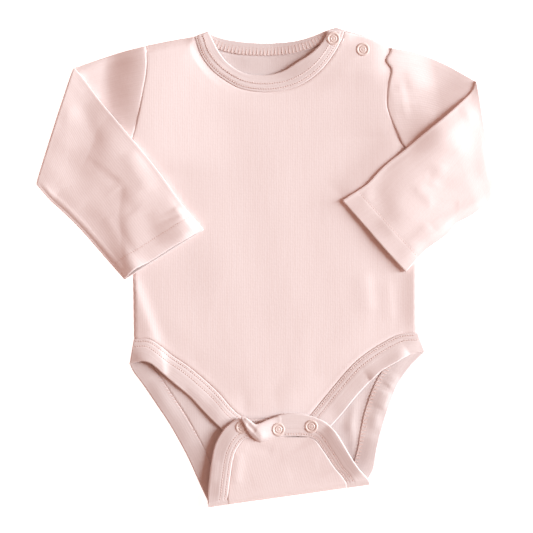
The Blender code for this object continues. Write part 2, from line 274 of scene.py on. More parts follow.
class Shade:
    # A socket of a material's tree, or the tree itself. The operators add Math nodes.
    def __init__(self, tree, socket=None):
        self.tree, self.socket = tree, socket

    def feed(self, node, values):
        # Values, or links where they are shades, for a node's inputs.
        for name, value in dict(values).items():
            if isinstance(value, Shade):
                self.tree.links.new(value.socket, node.inputs[name])
            else:
                node.inputs[name].default_value = value

    def node(self, kind, settings=(), values=(), output=0):
        made = self.tree.nodes.new(kind)
        for name, value in dict(settings).items():
            if name == "stops":
                ramp = made.color_ramp.elements
                while len(ramp) < len(value):
                    ramp.new(0.5)
                for stop, (place, colour) in zip(ramp, value):
                    stop.position, stop.color = place, colour
            else:
                setattr(made, name, value)
        self.feed(made, values)
        return Shade(self.tree, made.outputs[output])

    def math(self, operation, first, second=0.0):
        return self.node("ShaderNodeMath", {"operation": operation}, {0: first, 1: second})

    def __add__(self, other):
        return self.math("ADD", self, other)

    def __sub__(self, other):
        return self.math("SUBTRACT", self, other)

    def __rsub__(self, other):
        return self.math("SUBTRACT", other, self)

    def __mul__(self, other):
        return self.math("MULTIPLY", self, other)

    __radd__ = __add__
    __rmul__ = __mul__

    def mix(self, share, first, second):
        settings = {"data_type": "RGBA", "blend_type": "MIX"}
        return self.node("ShaderNodeMix", settings, {0: share, 6: first, 7: second}, 2)


def newMaterial(name):
    # A material, its tree and its Principled shader.
    material = bpy.data.materials.new(name)
    material.use_nodes = True
    shader = material.node_tree.nodes["Principled BSDF"]
    return material, Shade(material.node_tree), shader


def weavePlace(tree):
    # The cloth's own UV, in millimetres across and along it, whole and in its two parts.
    place = tree.node("ShaderNodeUVMap", {"uv_map": "weave"})
    across = tree.node("ShaderNodeSeparateXYZ", values={0: place})
    return place, across, Shade(tree.tree, across.socket.node.outputs[1])


def flatNoise(tree, place, scale, detail):
    # Noise that varies with the two first coordinates only.
    values = {"Vector": place, "Scale": scale, "Detail": detail}
    return tree.node("ShaderNodeTexNoise", {"noise_dimensions": "2D"}, values)


def bumped(tree, height, strength, distance):
    # A normal tilted by the slope of a height.
    return tree.node("ShaderNodeBump", values={"Strength": strength, "Distance": distance, "Height": height})


def toned(colour, tone):
    # The colour times the tone, opaque.
    return tuple(c * tone for c in colour[:3]) + (1.0,)


knitLook = {
    "light": (0.895, 0.760, 0.742, 1.0),
    "deep": (0.845, 0.695, 0.668, 1.0),
    "waleWidth": 1.7,  # one rib of the knit
    "courseHeight": 1.1,
    "bump": 0.00006,
    "roughness": 0.88,
    "sheen": 0.2,
    "sheenTint": (1.0, 0.90, 0.87, 1.0),
}


def knitMaterial(name, look, tone=1.0):
    # Deep colour mixed with light by two noises, one of them drawn out along the ribs, and
    # faintly by the sines of the ribs and of the courses, which also make the bump.
    material, tree, shader = newMaterial(name)
    place, u, v = weavePlace(tree)
    turn = 2 * np.pi
    wander = flatNoise(tree, place, 0.12, 2.0)
    wale = tree.math("SINE", (u + wander * 1.2) * (turn / look["waleWidth"]))
    course = tree.math("SINE", (v + tree.math("ABSOLUTE", wale) * 0.35) * (turn / look["courseHeight"]))
    stretched = place.node("ShaderNodeMapping", values={"Vector": place, "Scale": (0.55, 0.035, 1.0)})
    streak = flatNoise(tree, stretched, 1.0, 3.0)
    mottle = flatNoise(tree, place, 0.55, 4.0)
    shareLight = 0.58 + (streak - 0.5) * 0.8 + (mottle - 0.5) * 0.6 + wale * 0.03 + course * 0.01
    shareLight = tree.math("MINIMUM", tree.math("MAXIMUM", shareLight, 0.0), 1.0)
    height = wale * 0.2 + course * 0.1 + mottle * 1.0
    tree.feed(shader, {
        "Base Color": tree.mix(shareLight, toned(look["deep"], tone), toned(look["light"], tone)),
        "Normal": bumped(tree, height, 0.8, look["bump"]),
        "Roughness": look["roughness"],
        "Sheen Weight": look["sheen"],
        "Sheen Roughness": 0.5,
        "Sheen Tint": look["sheenTint"],
        "Specular IOR Level": 0.15,
    })
    return material


def threadMaterial(name, colour):
    # A slanting sine across and along the thread, in the colour and in the bump.
    material, tree, shader = newMaterial(name)
    _, u, v = weavePlace(tree)
    twist = tree.math("SINE", u * 9.0 + v * 7.0)
    tree.feed(shader, {
        "Base Color": tree.mix(twist * 0.5 + 0.5, toned(colour, 0.86), colour),
        "Normal": bumped(tree, twist, 0.6, 0.0001),
        "Roughness": 0.7,
        "Sheen Weight": 0.2,
    })
    return material


def snapMaterial(name, colour):
    # Fine noise in the colour, the roughness and the bump.
    material, tree, shader = newMaterial(name)
    place = tree.node("ShaderNodeTexCoord", output=3)
    grain = tree.node("ShaderNodeTexNoise", values={"Vector": place, "Scale": 900.0, "Detail": 3.0})
    tree.feed(shader, {
        "Base Color": tree.mix(grain, toned(colour, 0.9), colour),
        "Roughness": grain * 0.2 + 0.32,
        "Normal": bumped(tree, grain, 0.3, 0.00005),
        "Coat Weight": 0.15,
    })
    return material


knitFront = knitMaterial("knitPink", knitLook)
# the wrong side of the knit: the same material at tone 0.865, a darker copy whose darkness is painted shade
# for the hollows inside the neck, the legs and the sleeves
knitWrongShaded = knitMaterial("knitWrongSidePaintedShade", knitLook, 0.865)
knitBinding = knitMaterial("bindingPink", knitLook, 0.92)
threadPink = threadMaterial("threadPink", (0.86, 0.64, 0.59, 1.0))
snapPink = snapMaterial("snapPink", (0.80, 0.62, 0.57, 1.0))
print("materials made")

# Outlines shared by the pieces, from the shoulder down.
outline = {
    # x, y down each armhole, from the shoulder to the underarm
    "armholeRight": (
        (-87, 159.1), (-86, 150), (-86.2, 140), (-88.5, 126.7), (-91.6, 109.8), (-96.4, 91.5), (-102.6, 72.5),
    ),
    "armholeLeft": (
        (90.8, 157.8), (90.2, 154.2), (87.2, 148.6), (91.2, 142.2), (89.6, 134), (88.1, 125.4), (87.8, 116.4),
        (89.6, 109.4), (94.4, 98.6), (101.5, 85.4), (112, 78),
    ),
    # x, y on the right then on the left, from the underarm to the leg opening
    "side": ((-102.6, 72.5, 112, 78), (-96.6, 10, 110.2, 14), (-95, -52.8, 109.9, -48.2)),
    # the seam's x, y and the binding's free edge's x, y, from the wearer's right to left
    "neckFront": (
        (-51.6, 165.6, -41.2, 169.8), (-47, 152.6, -35, 157.4), (-39.6, 142.4, -29.6, 149.5),
        (-30.4, 134.8, -22.1, 143.1), (-19.2, 128.6, -13.6, 139.2), (-7.2, 126, -3.4, 138.2),
        (4.7, 125.8, 6.2, 139.2), (17.8, 128, 14.6, 142.2), (30.1, 133.5, 22.8, 147.4),
        (41, 142.3, 31.6, 152.9), (48.9, 152.3, 39, 159.6), (54.7, 162.4, 43.4, 165.4),
        (56.9, 168.9, 45, 170),
    ),
    "neckBack": (
        (-50.5, 166, -39, 167.6), (-41.5, 159.8, -34.2, 165.8), (-30, 155.2, -26.9, 163.9),
        (-18, 152.8, -16, 162.3), (-3, 152, -2, 161.4), (12.4, 152.5, 13, 161.9), (24.5, 154.5, 24.6, 163.4),
        (36, 158.2, 34, 166.2), (47, 163.8, 43.2, 170), (58.5, 169.9, 50.8, 172.6),
    ),
    # seam and free edge on the right, then on the left, from the side seam down
    "legFront": (
        (-95, -52.8, -98.3, -71.3, 109.9, -48.2, 115.2, -62),
        (-84.5, -52.8, -89.6, -69, 97.5, -49.2, 104.8, -64.2),
        (-76, -57.8, -82.6, -71, 86, -54.6, 93.6, -70.4), (-67, -65, -75.6, -77, 75, -61.4, 84.4, -75.8),
        (-56, -72.4, -66.6, -84.8, 65, -69.2, 75.4, -84),
        (-44.8, -81.6, -55.4, -94.2, 55.4, -79.6, 66.4, -93.6),
        (-34, -91.8, -45, -105.2, 46.2, -90.6, 57.6, -104.4),
        (-24.6, -102.6, -36, -114.2, 37.6, -101.2, 50, -113.2),
        (-17.6, -108.6, -28.4, -121, 31.2, -108.6, 42, -121.4),
        (-13, -110.6, -18.5, -128.2, 26.6, -111.4, 33, -127.6),
    ),
    "legBack": (
        (-95, -52.8, -98.3, -71.4, 109.9, -48.2, 115.2, -62.8),
        (-87, -65, -95.4, -77.2, 95, -61.5, 106.2, -71.6), (-76.5, -80, -88.4, -86.6, 82, -79.6, 96.6, -84.8),
        (-67.2, -94, -79.6, -99.6, 76.8, -90.6, 92.2, -95.2),
        (-58.2, -107.6, -70.6, -113, 72.2, -103.6, 88, -106.8),
        (-50, -121.6, -62.8, -126.4, 69, -117, 84.2, -119.4),
        (-42.6, -136, -55.4, -140.6, 66.8, -130.6, 80.9, -132.8),
        (-35, -152.4, -48.4, -156.4, 63, -144.4, 78.6, -146.4),
        (-27.4, -168.6, -41.8, -170.8, 58.4, -156.6, 74.6, -154.4),
    ),
    # the flap as it lies, from its fold up to its end
    "flap": (
        (-27.4, -168.6, -41.8, -170.8, 58.4, -156.6, 74.6, -154.4),
        (-26.4, -160, -41.4, -161.6, 54.2, -151, 69.4, -148.6),
        (-25.2, -151, -40.4, -151, 49.6, -145.6, 65.2, -143.2),
        (-23.9, -142.2, -39, -140.4, 45.6, -139.6, 60.4, -135.6),
        (-21.6, -134, -36.6, -129.4, 41.4, -133.4, 56, -128),
        (-17.6, -127.6, -31.4, -119.6, 37.6, -128, 50.4, -119.4),
        (-14, -125, -25.6, -113.6, 34.6, -125.2, 43, -112.6),
        (-10, -123.8, -19.6, -110.2, 30.6, -123.8, 35.6, -109),
    ),
    # the flap's end, seam and free edge, from the right corner to the left one
    "flapEnd": (
        (-10, -123.8, -19.6, -110.2), (-7, -123.6, -14.6, -110.4), (-3.6, -123.6, -9, -114.4),
        (0.2, -123.6, -3, -114.8), (4.2, -123.8, 2.6, -112.4), (8, -123.9, 7.4, -109.4),
        (11.6, -123.8, 11.8, -107.2), (16.2, -123.5, 17, -106.4), (21.4, -123.3, 22.4, -106.4),
        (26.2, -123.4, 28.6, -107.2), (30.6, -123.8, 35.6, -109),
    ),
}

body = {
    "armholeRows": 36,
    "sideRows": 46,
    "legRows": 8,
    "shoulderColumns": 14,
    "neckColumns": 8,
    # how far each shoulder bows out, the right one as a share of the left one
    "humpLeft": 1.4,
    "humpRight": 0.3,
}


def panelTop(neck):
    # Along one shoulder, round the neck and along the other one; the shoulders bow by a sine.
    seam = smoothRows(neck, body["neckColumns"])[:, :2]
    share = (np.arange(body["shoulderColumns"]) / body["shoulderColumns"])[:, None]
    tipRight, tipLeft = (np.array(outline[k][0]) for k in ("armholeRight", "armholeLeft"))
    right = tipRight + (seam[0] - tipRight) * share
    left = (tipLeft + (seam[-1] - tipLeft) * share)[::-1]
    hump = np.sin(np.pi * share[:, 0])
    left[:, 1] += (body["humpLeft"] * hump)[::-1]
    right[:, 1] += body["humpLeft"] * hump * body["humpRight"]
    return np.vstack([right, seam, left])


def panelSides(leg):
    # Down the armhole, the side seam and the leg opening, on both sides.
    sides = []
    for key, first in (("armholeRight", 0), ("armholeLeft", 2)):
        armhole = evenRows(smoothRows(outline[key], 12), body["armholeRows"] + 1)
        side = evenRows(smoothRows(outline["side"], 24)[:, first : first + 2], body["sideRows"] + 1)
        down = smoothRows(leg, body["legRows"])[:, 2 * first : 2 * first + 2]
        sides.append(np.vstack([armhole, side[1:], down[1:]]))
    return sides


def panelGrid(top, right, left):
    # Rows from side to side; the first is the top outline, whose dip fades out by the underarm.
    across = (top[:, 0] - top[0, 0]) / (top[-1, 0] - top[0, 0])
    grid = right[:, None] + (left - right)[:, None] * across[:, None]
    dip = top[:, 1] - grid[0, :, 1]
    fade = np.clip(1 - np.arange(len(grid)) / body["armholeRows"], 0, 1)
    grid[..., 1] += fade[:, None] * dip
    return grid, across


def withHeight(flat, height):
    # x and y with a height as the third coordinate.
    return np.concatenate([flat, np.broadcast_to(height, flat.shape[:-1])[..., None]], axis=-1)


def rolled(flat, height, turn, axis, outward, squash=1.0):
    # Cloth turned about a level axis: the radius is axis minus height, and a point swings
    # out by squash * radius * sin(turn) and up to axis - radius * cos(turn).
    radius = axis - height
    swing = (squash * radius * np.sin(turn))[..., None] * outward
    return np.concatenate([flat + swing, (axis - radius * np.cos(turn))[..., None]], axis=-1)


# The back, with the crotch flap.
back = {
    "foldAxis": 4.2,
    "rollRows": 14,
    "flapRows": 9,
    "flapDrop": 0.2,  # how much lower the flap is at its end than at its fold
    "shoulderRise": 2.7,  # the wearer's left shoulder stands off the table
    "ripple": (0.5, 26),  # height and length of the slack's waves
    # start x, y, stop x, y, width on the left, on the right, height
    "creases": (
        (-79, -80, -50, -130, 16, 12, 1.6), (-42, -104, -30, -152, 14, 30, 0.8),
        (95, -80, 89, -88, 3, 6, 1.2), (89, -91, 84, -104, 3, 7, 1.2), (80, -108, 79, -118, 4, 5, 0.8),
        (82, -122, 78, -152, 6, 10, 2.4), (66, -98, 60, -120, 3, 4, 0.5), (62, -112, 64, -136, 3, 3, 0.5),
        (-20, 148, 20, 144, 5, 5, 0.3),
    ),
    "flapEdgeCreases": (
        (46, -113, 75, -152, 8, 9, 3.4), (-20, -116, -31, -170, 30, 9, 1.1),
        (-36, -140, -39, -158, 4, 4, 0.5),
    ),
    "flapCreases": (
        (-10, -160, 20, -150, 9, 9, 0.2), (31, -130, 43, -152, 24, 24, -0.4), (44, -112, 82, -160, 30, 34, 2),
        (10, -136, 40, -140, 7, 7, 0.2), (-14, -129, 6, -134, 4, 4, -0.3), (-22, -158, -19, -134, 4, 4, 0.5),
    ),
}
wall, gap = cloth["wall"], cloth["gap"]
backTop = panelTop(outline["neckBack"])
backRight, backLeft = panelSides(outline["legBack"])
backFlat, backAcross = panelGrid(backTop, backRight, backLeft)
foldStart, foldStop = (np.array(outline["flap"][0][i : i + 2]) for i in (2, 6))
foldAlong = (foldStop - foldStart) / np.linalg.norm(foldStop - foldStart)
foldOut = np.array([foldAlong[1], -foldAlong[0]])


def beyondFold(flat):
    # Distance up the flap from the fold line.
    return -((flat - foldStart) @ foldOut)


def shoulderLift(flat):
    # A broad rise under the wearer's left shoulder, down again at the armhole.
    x, y = flat[..., 0], flat[..., 1]
    return back["shoulderRise"] * easeIn((x - 2) / 38) * easeIn((y - 130) / 24) * easeIn((93 - x) / 20)


def backLift(flat):
    # Creases in the two parts of the back that show, inside the legs and inside the neck,
    # with none at the fold, and the shoulder's rise.
    y = flat[..., 1]
    inLegs = easeIn((-58 - y) / 25) * easeIn(beyondFold(flat) / 18)
    inNeck = easeIn((y - 132) / 10) * easeIn((160 - y) / 8)
    slack = np.clip(creases(back["creases"], flat) + ripples(flat, back["ripple"], 3), -0.05, 4.5)
    return slack * (inLegs + 0.5 * inNeck) + shoulderLift(flat)


lowHeight = Heights()
backBase = withHeight(backFlat, backLift(backFlat))
lowHeight.add(backBase + [0, 0, wall])
print("back laid")

bindingShape = {
    "thick": 1.7,
    "across": 30,
    "rows": (1.9, 5.5),  # the twin needles, from the seam
    "groove": 0.17,
    "grooveWidth": 0.7,
    "ridge": (0.08, 1.2),  # height and reach of the swell between the rows
    "welt": (0.12, 0.8),  # and of the one past them
    "puff": 0.25,
    "round": 0.9,
    # the height left at each edge, as a share of thick
    "seamFoot": 0.5,
    "edgeFoot": 0.2,
    "bulge": 0.2,
}


def bindingProfile(width, sewn=True):
    # Height over the flat underside at cosine-spaced distances from the seam: quarter
    # rounds at both edges, a slight crown, and a trough under each row of stitches.
    shape = bindingShape
    share = (1 - np.cos(np.linspace(0, np.pi, shape["across"]))) / 2
    away = share * width[..., None]
    fromEdge = width[..., None] - away
    seamFoot, edgeFoot = shape["seamFoot"], shape["edgeFoot"]
    seamRound = quarterRound(away, shape["round"]) * (1 - seamFoot) + seamFoot
    edgeRound = quarterRound(fromEdge, shape["round"]) * (1 - edgeFoot) + edgeFoot
    height = shape["thick"] * np.minimum(seamRound, edgeRound)
    height = height + shape["puff"] * np.sin(np.pi * share) ** 2
    if sewn:
        for row in shape["rows"]:
            height = height - shape["groove"] * bell(away - row, shape["grooveWidth"])
        between, beyond = np.mean(shape["rows"]), shape["rows"][1] + 1.5
        for place, (rise, reach) in ((between, shape["ridge"]), (beyond, shape["welt"])):
            height = height + rise * bell(away - place, reach)
    return share, height


def bindingGrid(seam, edge, sewn=True):
    # The strip's points, level, and its height over its underside.
    step = edge - seam
    width = np.linalg.norm(step, axis=-1)
    share, height = bindingProfile(width, sewn)
    start = seam + step * (cloth["seam"] / width)[:, None]
    flat = start[:, None] + (edge - start)[:, None] * share[:, None]
    return flat, height, width


def gridUv(flat):
    # Millimetres across and along the grid, for a pattern that follows the strip.
    along = lengthAlong(flat[:, flat.shape[1] // 2])
    away = np.linalg.norm(flat - flat[:, :1], axis=-1)
    return np.stack([away, np.broadcast_to(along[:, None], away.shape)], axis=-1)


def pointsOn(grid, share, spacing, start=0.0, stop=0.0):
    # Evenly spaced points and directions along a grid, at a share of the way across it.
    column = np.asarray(share) * (grid.shape[1] - 1)
    low = np.clip(column.astype(int), 0, grid.shape[1] - 2)
    part = (column - low)[:, None]
    rows = np.arange(len(grid))
    line = grid[rows, low] * (1 - part) + grid[rows, low + 1] * part
    along = lengthAlong(line)
    at = np.arange(start, along[-1] - stop, spacing)
    ahead = np.minimum(at + 0.3, along[-1])
    behind = np.maximum(at - 0.3, 0)
    place, ahead, behind = (rowsAt(line, along, t) for t in (at, ahead, behind))
    return place, ahead - behind


def shareAt(width, away):
    # Where a distance from the seam falls among the cosine-spaced columns.
    return np.arccos(1 - 2 * np.clip(away / width, 0, 1)) / np.pi


stitch = {
    "spacing": 1.8,
    "size": (1.15, 0.7, 0.6),
    "loop": (5.2, 1.2, 0.5),
    "loopSpacing": 2.6,
    "proud": 0.12,
    "chain": (0.95, 0.6, 0.5),  # length as a share of the spacing, width and height
    "chainOut": 0.46,  # off the middle, as a share of the rung
    "chainLean": 0.35,
    "cuffSunk": 0.1,
}


def needleRows(name, grid, width, rows=bindingShape["rows"], start=1.5, stop=1.5):
    # Short threads end to end along each row, on the strip's upper face.
    places, directions = [], []
    for away in rows:
        place, along = pointsOn(grid, shareAt(width, away), stitch["spacing"], start, stop)
        places.append(place + stitch["proud"] * upward)
        directions.append(along)
    threadMesh(name, np.vstack(places), np.vstack(directions), stitch["size"])


def loopLadder(name, grid, width, away, slant=0.0, start=2.0, stop=2.0, sunk=0.0):
    # The looper side of a twin-needle seam: a rung across it at every stitch, and a chain
    # of short threads along both of its sides.
    middle, along = pointsOn(grid, shareAt(width, away), stitch["loopSpacing"], start, stop)
    along, middle = unit(along), middle - sunk * upward
    across = np.cross(upward, along) + along * slant
    threadMesh(name + "Rungs", middle, across, stitch["loop"])
    ends, ways = [], []
    for side in (-1, 1):
        ends.append(middle + across * side * stitch["loop"][0] * stitch["chainOut"])
        ways.append(along + stitch["chainLean"] * side * across)
    size = (stitch["loopSpacing"] * stitch["chain"][0], *stitch["chain"][1:])
    threadMesh(name + "Chain", np.vstack(ends), np.vstack(ways), size)


def layBinding(name, rows, under, nodes, count, lift, sewn=True, material=knitBinding):
    # A strip laid on what is under it, raised by lift. It returns its upper face and width.
    rows = evenRows(rows, count)
    flat, height, width = bindingGrid(rows[:, :2], rows[:, 2:4], sewn=sewn)
    base = under.at(flat) + gap + lift(flat)
    top, bottom = withHeight(flat, base + height), withHeight(flat, base)
    wallMesh(name, top, bottom, gridUv(flat), material, nodes, bulge=bindingShape["bulge"])
    return top, width


# the back's own neck binding lies at the table, on nothing
tableHeight = Heights()
tableHeight.top -= gap  # which laying adds again
# it wears the darker wrong-side copy of the knit, painted shade for the hollow inside the neck
neckBackTop, neckBackWidth = layBinding(
    "neckBindingBack", smoothRows(outline["neckBack"], 12), tableHeight, ["neck_binding_back"], 120,
    shoulderLift, sewn=False, material=knitWrongShaded,
)
lowHeight.add(neckBackTop)
loopLadder("neckLooper", neckBackTop, neckBackWidth, 3.3, start=4.0, stop=8.0, sunk=0.12)

front = {
    "puff": 1.6,  # how far the middle stands off the back
    "sideRoll": 2.6,  # the rounded turn at each side seam
    "topReach": 16,
    "endReach": 22,
    "ripple": (0.3, 60),
    "edgeRipple": (0.2, 22),
    "columns": 190,
    "rows": 170,
    "creases": (
        (-98.6, -6, -79.5, -58, 5, 9, 1.3), (111.6, 30, 110.6, -48, 4, 9, 1.3), (71, -4, 75, -34, 5, 8, 0.5),
        (88, -10, 90, -40, 4, 8, 0.35), (-64, 40, -30, -20, 20, 20, 0.3), (-40, -30, 30, -50, 20, 20, -0.3),
        (-90.5, 172, -99, 68, 44, 14, 4.2), (94, 146, 94, 92, 10, 30, 1.6), (102, 90, 58, 46, 8, 13, 1.8),
        (-16, -100, 24, -98, 6, 6, 0.3),
    ),
    "edgeCreases": (
        (-77, -58, -74, -80, 3.5, 8, 1.2), (-62, -88, -36, -114, 4, 5, -0.7), (106, -65, 76, -85, 5, 8, 2.8),
        (76, -85, 46, -118, 5, 7, 0.6),
    ),
    # x, y, reach and height of places where the front stands away from the back
    "gapes": (
        (46, 158, 20, 0.4), (30, 140, 14, 0.2), (-87, -67, 11, 3), (-34, -108, 9, 0.8), (70, -82, 18, 0.8),
    ),
}
frontTop = evenRows(panelTop(outline["neckFront"]), front["columns"])
legSeams = smoothRows(outline["legFront"], 10)
frontEnd = np.vstack([legSeams[:, :2], legSeams[::-1, 4:6]])
frontEnd = evenRows(frontEnd, front["columns"])


def frontSide(key, first):
    # Down the armhole and the side seam, in equal steps.
    side = smoothRows(outline["side"], 24)[1:, first : first + 2]
    return evenRows(np.vstack([smoothRows(outline[key], 12), side]), front["rows"])


frontRight, frontLeft = frontSide("armholeRight", 0), frontSide("armholeLeft", 2)
# a Coons patch: the mean of the two ruled surfaces less the bilinear one of the corners
u, v = np.linspace(0, 1, front["columns"])[None, :, None], np.linspace(0, 1, front["rows"])[:, None, None]
frontFlat = (1 - v) * frontTop + v * frontEnd + (1 - u) * frontRight[:, None] + u * frontLeft[:, None]
frontFlat = frontFlat - (1 - u) * ((1 - v) * frontTop[0] + v * frontEnd[0])
frontFlat = frontFlat - u * ((1 - v) * frontTop[-1] + v * frontEnd[-1])
armRight, armLeft = (smoothRows(outline[k], 12) for k in ("armholeRight", "armholeLeft"))
sideLines = [smoothRows(outline["side"], 40)[:, i : i + 2] for i in (0, 2)]


def toSides(flat):
    # Each point's distance from the nearer side seam.
    return np.minimum(*(nearest(flat, line) for line in sideLines))


def gapes(flat):
    # The soft domes of the table, added up.
    total = 0.0
    for x, y, reach, height in front["gapes"]:
        away = np.hypot(flat[..., 0] - x, flat[..., 1] - y)
        total = total + height * bell(away, reach)
    return total


def frontLift(flat):
    # Off the back by puff in the middle, down to nothing at the outline, with a rounded
    # turn at each side seam, the creases and the slack.
    toTop, toEnd = nearest(flat, frontTop), nearest(flat, frontEnd)
    middle = easeIn(toTop / front["topReach"]) * easeIn(toEnd / front["endReach"])
    turn = quarterRound(toSides(flat), front["sideRoll"])
    slack = creases(front["creases"], flat) * easeIn(toTop / 6) + ripples(flat, front["ripple"], 11) * middle
    return (front["puff"] * (0.75 + 0.25 * middle) * turn + slack * (0.25 + 0.75 * turn)).clip(0, 6)


restUnder = lowHeight.softened(1, 2)
frontLow = restUnder.at(frontFlat) + gap
frontLow = frontLow + frontLift(frontFlat) + gapes(frontFlat)
toArmRight, toArmLeft = nearest(frontFlat, armRight), nearest(frontFlat, armLeft)
toSeam = np.minimum(nearest(frontFlat, frontTop), nearest(frontFlat, frontEnd))
rim = -0.2 * bell(toArmRight, 1.0) - 0.12 * bell(toArmLeft, 1.0)
rim = rim - 0.2 * bell(toSeam, 0.9) + 0.05 * bell(toSeam - 2.2, 1.1)
frontBottom = withHeight(frontFlat, frontLow)
frontUpper = withHeight(frontFlat, frontLow + wall + rim)
wallMesh("frontCloth", frontUpper, frontBottom, frontFlat, knitFront, ["front_panel"])
midHeight = Heights(lowHeight).add(frontUpper)
print("front laid")


def frontEdgeLift(flat):
    # The same for the bindings at the front's ends: a lower puff and creases of their own.
    toSide = toSides(flat)
    turn = quarterRound(toSide, front["sideRoll"])
    slack = creases(front["creases"][:2], flat) * np.clip(1 - toSide / 60, 0, 1)
    slack = slack * 0.8 + creases(front["edgeCreases"], flat)
    return front["puff"] * 0.45 * turn + gapes(flat) + slack + ripples(flat, front["edgeRipple"], 8)


legFront = smoothRows(outline["legFront"], 10)
endShare = np.linspace(0, 1, 30)[1:-1, None]
endRow = legFront[-1:, :4] + (legFront[-1:, 4:] - legFront[-1:, :4]) * endShare
legFrontPath = np.vstack([legFront[:, :4], endRow, legFront[::-1, 4:]])
restUnder = lowHeight.softened(1, 3)
legFrontTop, legFrontWidth = layBinding(
    "legBindingFront", legFrontPath, restUnder, ["leg_binding_front"], 420, frontEdgeLift
)
needleRows("legFrontStitches", legFrontTop, legFrontWidth, start=2.0, stop=2.0)
neckFrontTop, neckFrontWidth = layBinding(
    "neckBindingFront", smoothRows(outline["neckFront"], 12), restUnder, ["neck_binding_front"], 200,
    frontEdgeLift,
)
needleRows("neckFrontStitches", neckFrontTop, neckFrontWidth, (2.4, 6.4), start=2.0, stop=8.0)
midHeight.add(legFrontTop).add(neckFrontTop)
print("front bindings laid")

# The flap: the back rolls up over itself and over the front's end.
flapRows = smoothRows(outline["flap"], back["flapRows"])
flapUnder = midHeight.softened(2, 5)
axis = back["foldAxis"]


def flapHeights(flat, thick):
    # The flap's underside: level with the top of the roll at the fold, then slowly down,
    # but never less than gap over what is under it.
    beyond = beyondFold(flat)
    level = 2 * axis - thick - back["flapDrop"] * easeIn(beyond / 44)
    under = flapUnder.at(flat) + gap
    over = np.clip(under - level, -1.5, None)
    return level + over.clip(0, None) + 0.25 * np.exp(-np.abs(over) / 0.5) * easeIn(beyond / 8)


rollTurns = np.linspace(0, np.pi, back["rollRows"] + 2)[1:-1]
foldRow = backFlat[-1]
rollFlat = np.repeat(foldRow[None], len(rollTurns), axis=0)
rollTurn = np.broadcast_to(rollTurns[:, None], rollFlat.shape[:2])
flapFlat = flapRows[:, None, 0:2] + (flapRows[:, 4:6] - flapRows[:, 0:2])[:, None] * backAcross[:, None]
flapLow = flapHeights(flapFlat, wall)
flapBeyond = beyondFold(flapFlat)
flapLow = flapLow + (creases(back["flapCreases"], flapFlat) * easeIn(flapBeyond / 12)).clip(-0.8, 3)
rollUnder, rollOver = (rolled(rollFlat, 0 * rollTurn + up, rollTurn, axis, foldOut) for up in (0, wall))
backUnder = np.concatenate([backBase, rollUnder, withHeight(flapFlat, flapLow + wall)])
backOver = np.concatenate([backBase + [0, 0, wall], rollOver, withHeight(flapFlat, flapLow)])
rollUv = rollFlat + foldOut * (rollTurn * axis)[..., None]
flapUv = flapFlat + foldOut * (2 * flapBeyond + np.pi * axis)[..., None]
backUv = np.concatenate([backFlat, rollUv, flapUv])
# the inner faces get the darker wrong-side copy of the knit, painted shade for the inside of the garment
wallMesh("backCloth", backUnder, backOver, backUv, knitFront, ["back_panel"], inside=knitWrongShaded)
print("flap folded")

legBack = smoothRows(outline["legBack"], 10)
legTurns = np.repeat(legBack[-1:], len(rollTurns), axis=0)
flapEnd = smoothRows(outline["flapEnd"], 6)[1:-1]


def backPath(columns):
    # Down the leg opening, round the fold and up the flap.
    return np.vstack([legBack[:, columns], legTurns[:, columns], flapRows[:, columns]])


rightPath, leftPath = backPath(slice(0, 4)), backPath(slice(4, 8))
turnPath = np.concatenate([np.zeros(len(legBack)), rollTurns, np.full(len(flapRows), np.pi)])
path = np.vstack([rightPath, flapEnd, leftPath[::-1]])
turn = np.concatenate([turnPath, np.full(len(flapEnd), np.pi), turnPath[::-1]])
flat, height, width = bindingGrid(path[:, :2], path[:, 2:])
turnGrid = np.broadcast_to(turn[:, None], height.shape)
isFlap = turn > np.pi - 1e-6
isRoll = (turn > 1e-6) & ~isFlap
low = backLift(flat) * 0.8
plain = bindingProfile(width, sewn=False)[1]
# beside the flap's right edge the band dips in its middle and rises to its free edge
dip = creases(back["flapEdgeCreases"], flat)
flapLevel = flapHeights(flat, bindingShape["thick"]) + dip * easeIn(beyondFold(flat) / 6)
# before the fold its sewn face is underneath, and its plain inner face is what shows
underFace = np.where(isFlap[:, None], flapLevel + height, low)
overFace = np.where(isFlap[:, None], flapLevel, low + plain)
bindUnder = withHeight(flat, underFace)
bindOver = withHeight(flat, overFace)
bindUnder[isRoll] = rolled(flat[isRoll], 0 * height[isRoll], turnGrid[isRoll], axis, foldOut)
bindOver[isRoll] = rolled(flat[isRoll], plain[isRoll].clip(0, axis - 0.3), turnGrid[isRoll], axis, foldOut)
wallMesh(
    "legBindingBack", bindUnder, bindOver, gridUv(flat), knitBinding, ["leg_binding_back"],
    bulge=bindingShape["bulge"], inside=knitWrongShaded,
)
highHeight = Heights(midHeight).add(bindUnder[isFlap])
firstFlap, lastFlap = np.flatnonzero(isFlap)[[0, -1]]
flapSides = {
    "Right": slice(firstFlap, firstFlap + len(flapRows) + 10),
    "Left": slice(lastFlap - len(flapRows) - 4, lastFlap + 1),
}
for side, part in flapSides.items():
    needleRows("flapStitches" + side, bindUnder[part], width[part], start=1.0, stop=1.0)
legEnd = len(legBack)
loopLadder("legLooperRight", bindOver[:legEnd], width[:legEnd], 3.0, 0.25, 18.0, 12.0, 0.3)
loopLadder("legLooperLeft", bindOver[::-1][:legEnd], width[::-1][:legEnd], 3.0, -0.25, 18.0, 2.0, 0.12)

